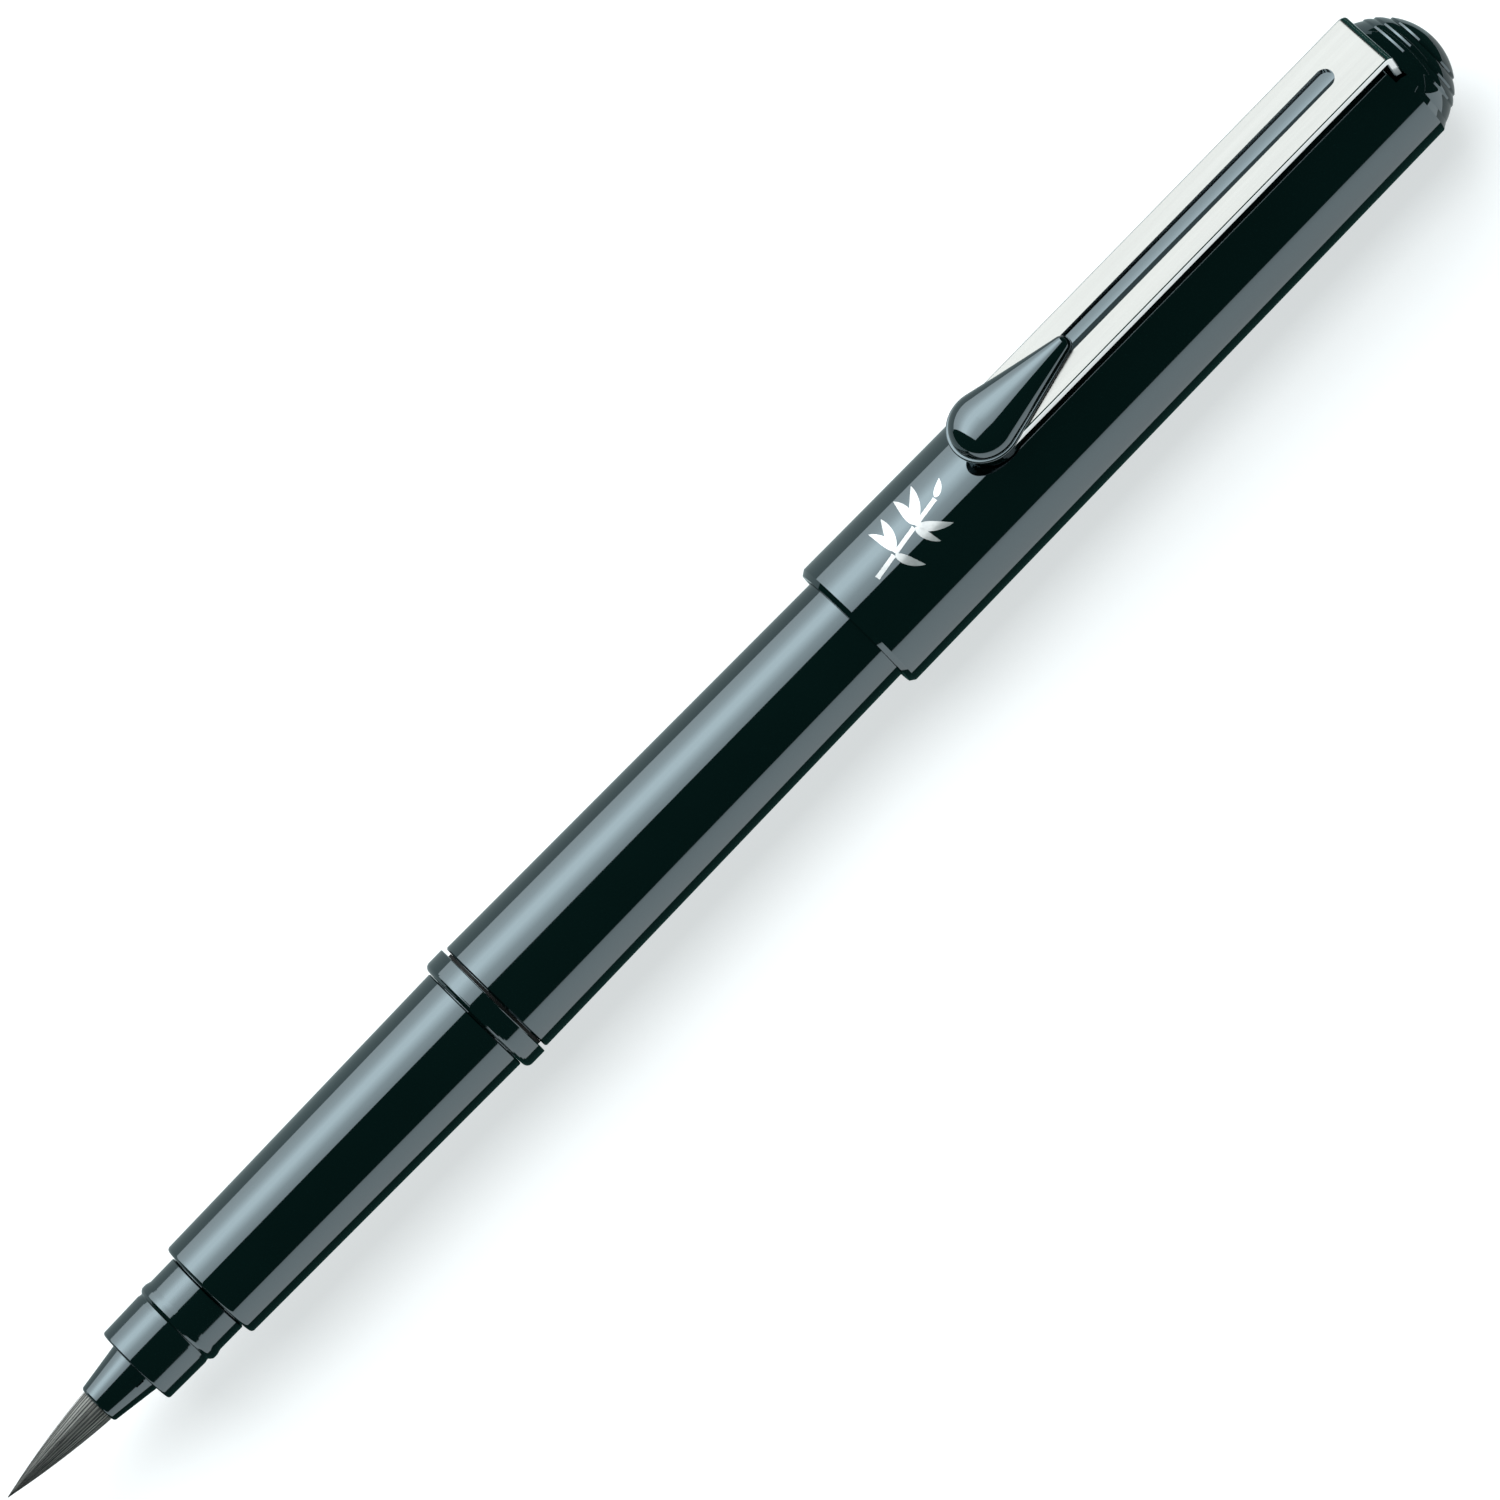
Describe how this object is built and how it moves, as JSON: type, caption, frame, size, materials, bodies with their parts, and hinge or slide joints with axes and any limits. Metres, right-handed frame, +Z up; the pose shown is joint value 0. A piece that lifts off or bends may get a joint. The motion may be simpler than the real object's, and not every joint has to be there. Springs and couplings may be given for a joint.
{
  "type": "brush pen",
  "caption": "Slim brush pen with a bristle tip, screw-on barrel over an ink cartridge, and a clipped cap posted on the barrel's tail.",
  "frame": {"origin": "centre of the part's bounding box in X and Y, on the surface the cap's rim lies on", "axes": "+X along the pen from the brush tip to the cap's dome, +Z up through the clip, +Y across the pen"},
  "size_m": [0.166, 0.0128, 0.0173],
  "materials": {
    "bristle": "ink-stained synthetic bristle",
    "resin": "melted bristle ends",
    "black_plastic": "moulded, high gloss",
    "dark_plastic": "moulded, satin",
    "fibre": "bonded fibre rod",
    "seal_rubber": "soft seal",
    "steel": "turned",
    "clear_plastic": "translucent, moulded",
    "liner_plastic": "moulded, satin",
    "clip_chrome": "satin bright plating",
    "rivet_brass": "plain"
  },
  "bodies": {
    "section": {"grip_section": "black_plastic", "joint_ring": "black_plastic", "joint_washer": "seal_rubber", "piercing_tube": "steel"},
    "brush_head": {"bristle_root": "bristle", "tuft_base": "resin", "nose_cone": "black_plastic", "tip_holder": "black_plastic", "feed_comb": "dark_plastic", "ink_wick": "fibre"},
    "tuft": {"tuft_tip": "bristle"},
    "cartridge": {"cartridge_tube": "clear_plastic"},
    "ball": {"cartridge_ball": "steel"},
    "barrel": {"barrel_tube": "black_plastic", "tail_plug": "dark_plastic"},
    "cap": {"cap_tube": "black_plastic", "inner_cap": "liner_plastic", "finial": "black_plastic", "finial_screw": "steel"},
    "clip": {"clip_strap": "clip_chrome", "knob_top": "black_plastic", "knob_base": "black_plastic", "knob_rivet": "rivet_brass"}
  },
  "joints": [
    {"name": "head_pull", "type": "slide", "parent": "section", "child": "brush_head", "axis": [-1, 0, 0], "range_m": [0, 0.03]},
    {"name": "tuft_bend", "type": "hinge", "parent": "brush_head", "child": "tuft", "pos_m": [-0.0732, 0, 0.0064], "axis": [0, 1, 0], "range_deg": [-45, 45], "stiffness_Nm_per_rad": 0.003},
    {"name": "barrel_travel", "type": "slide", "parent": "section", "child": "cartridge", "axis": [1, 0, 0], "range_m": [0, 0.0136]},
    {"name": "barrel_turn", "type": "hinge", "parent": "cartridge", "child": "barrel", "pos_m": [0, 0, 0.0064], "axis": [1, 0, 0], "range_deg": [0, 3240]},
    {"name": "ball_roll", "type": "slide", "parent": "cartridge", "child": "ball", "axis": [1, 0, 0], "range_m": [-0.001, 0.034]},
    {"name": "cap_pull", "type": "slide", "parent": "barrel", "child": "cap", "axis": [1, 0, 0], "range_m": [0, 0.03]},
    {"name": "clip_flex", "type": "hinge", "parent": "cap", "child": "clip", "pos_m": [0.0782, 0, 0.0114], "axis": [0, 1, 0], "range_deg": [0, 4], "stiffness_Nm_per_rad": 6}
  ],
  "couplings": [
    {"joint": "barrel_travel", "follows": "barrel_turn", "m_per_rad": 0.00023873}
  ]
}
